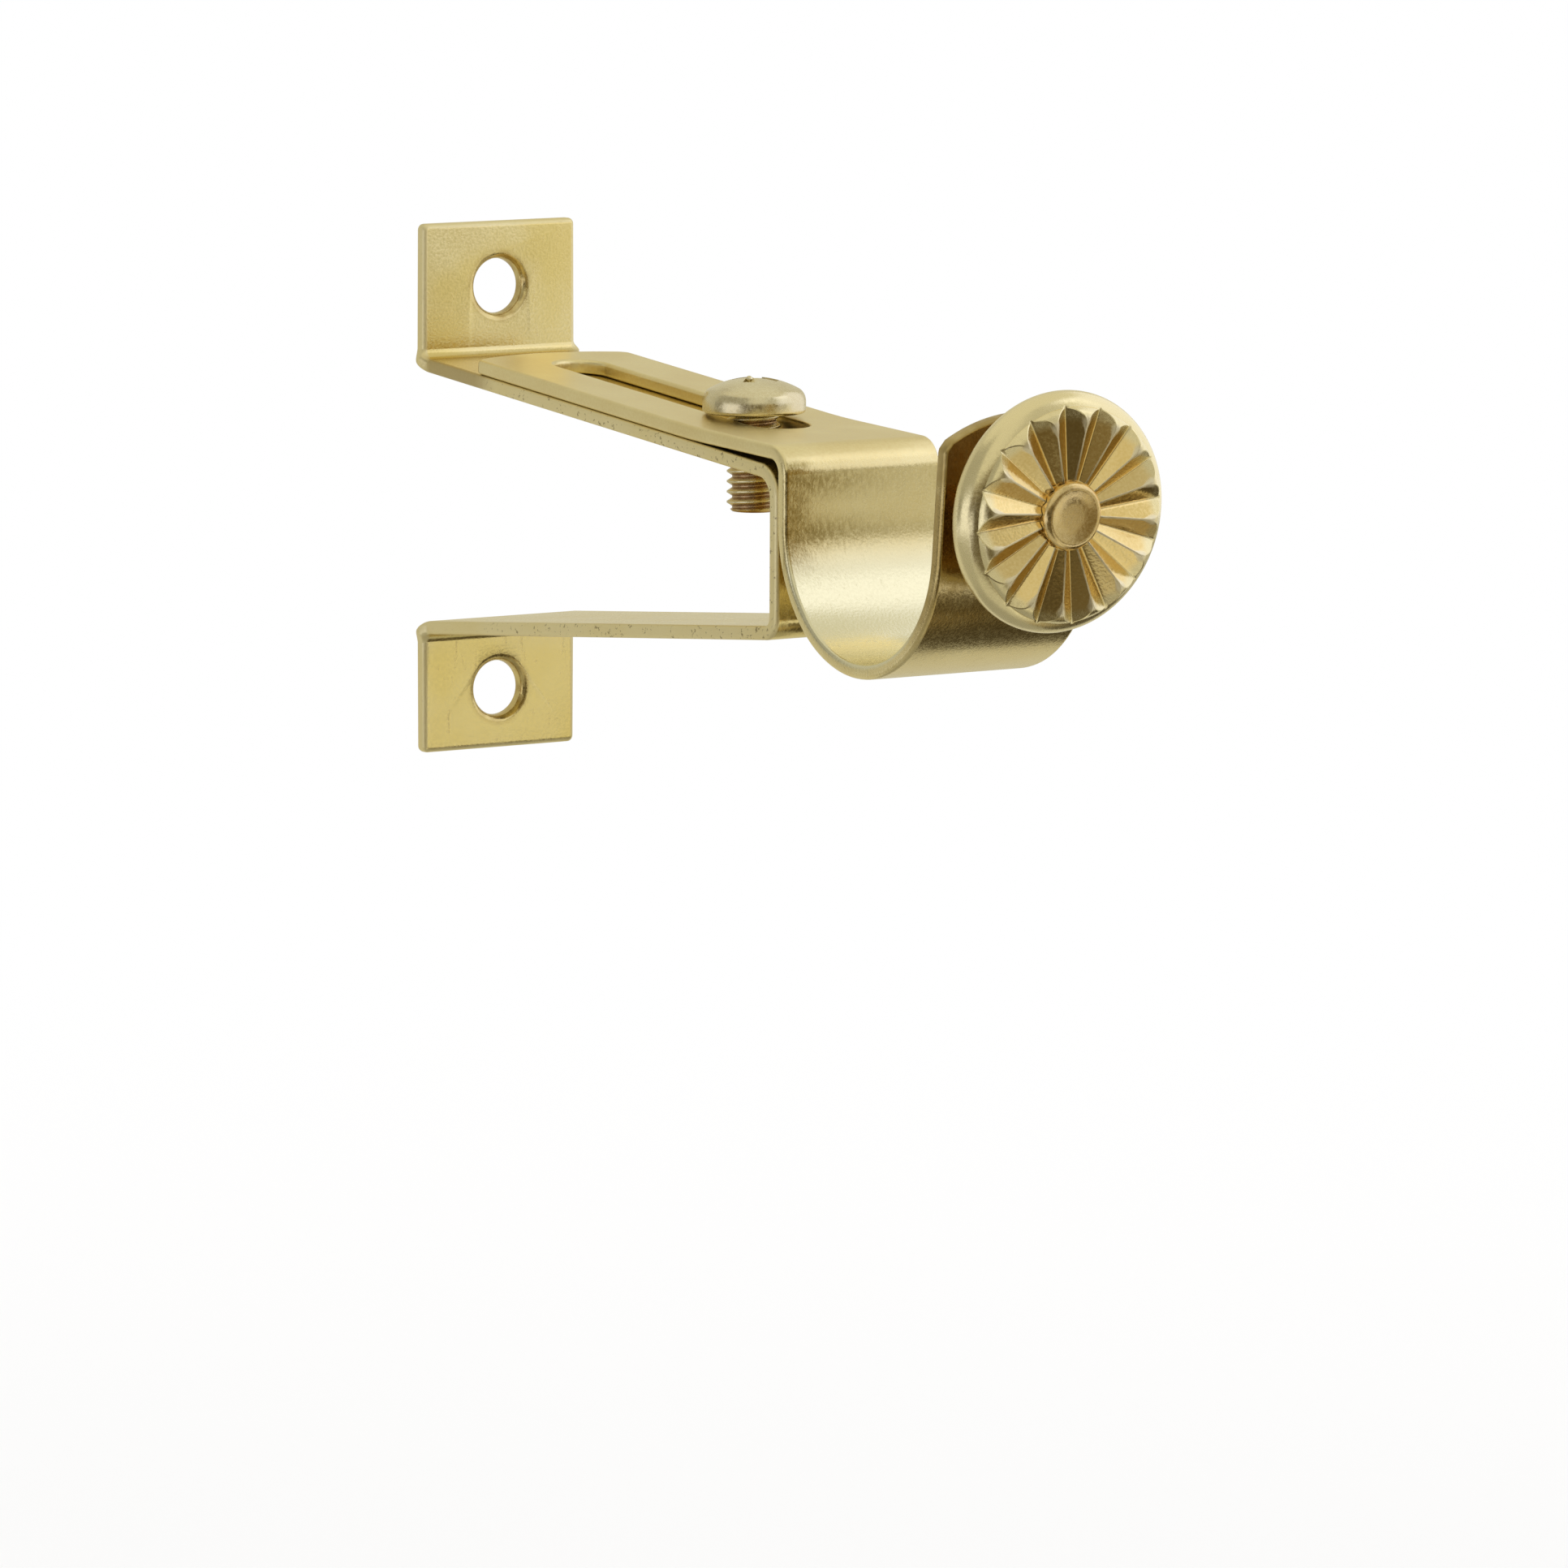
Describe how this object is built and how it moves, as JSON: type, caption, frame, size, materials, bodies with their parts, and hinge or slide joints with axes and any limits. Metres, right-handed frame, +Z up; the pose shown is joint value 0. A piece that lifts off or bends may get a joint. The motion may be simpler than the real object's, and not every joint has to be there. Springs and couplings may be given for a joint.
{
  "type": "curtain pole bracket",
  "caption": "Extending wall bracket for a curtain pole: folded strip with two feet, sliding arm with an open cup, clamp screw and fluted rosette.",
  "frame": {"origin": "on the wall face, midway between the two wall screw holes", "axes": "+X along the pole, +Y into the wall, +Z up; the cup is towards -Y"},
  "size_m": [0.0182, 0.0808, 0.0424],
  "materials": {
    "bracket_strip": "satin, pale brass plate",
    "arm_strip": "satin, pale brass plate",
    "screw": "bright, pale brass plate",
    "rosette": "bright, turned and fluted",
    "rivet": "satin, slightly tarnished"
  },
  "bodies": {
    "bracket": {"wall_bracket": "bracket_strip"},
    "arm": {"pole_arm": "arm_strip", "rosette": "rosette", "rosette_rivet": "rivet"},
    "screw": {"clamp_screw": "screw"}
  },
  "joints": [
    {"name": "arm_slide", "type": "slide", "parent": "bracket", "child": "arm", "axis": [0, -0.9959, -0.0901], "range_m": [0, 0.023]},
    {"name": "screw_turn", "type": "hinge", "parent": "bracket", "child": "screw", "pos_m": [0, -0.0377, 0], "axis": [0, 0, 1], "range_deg": [0, 360]}
  ]
}
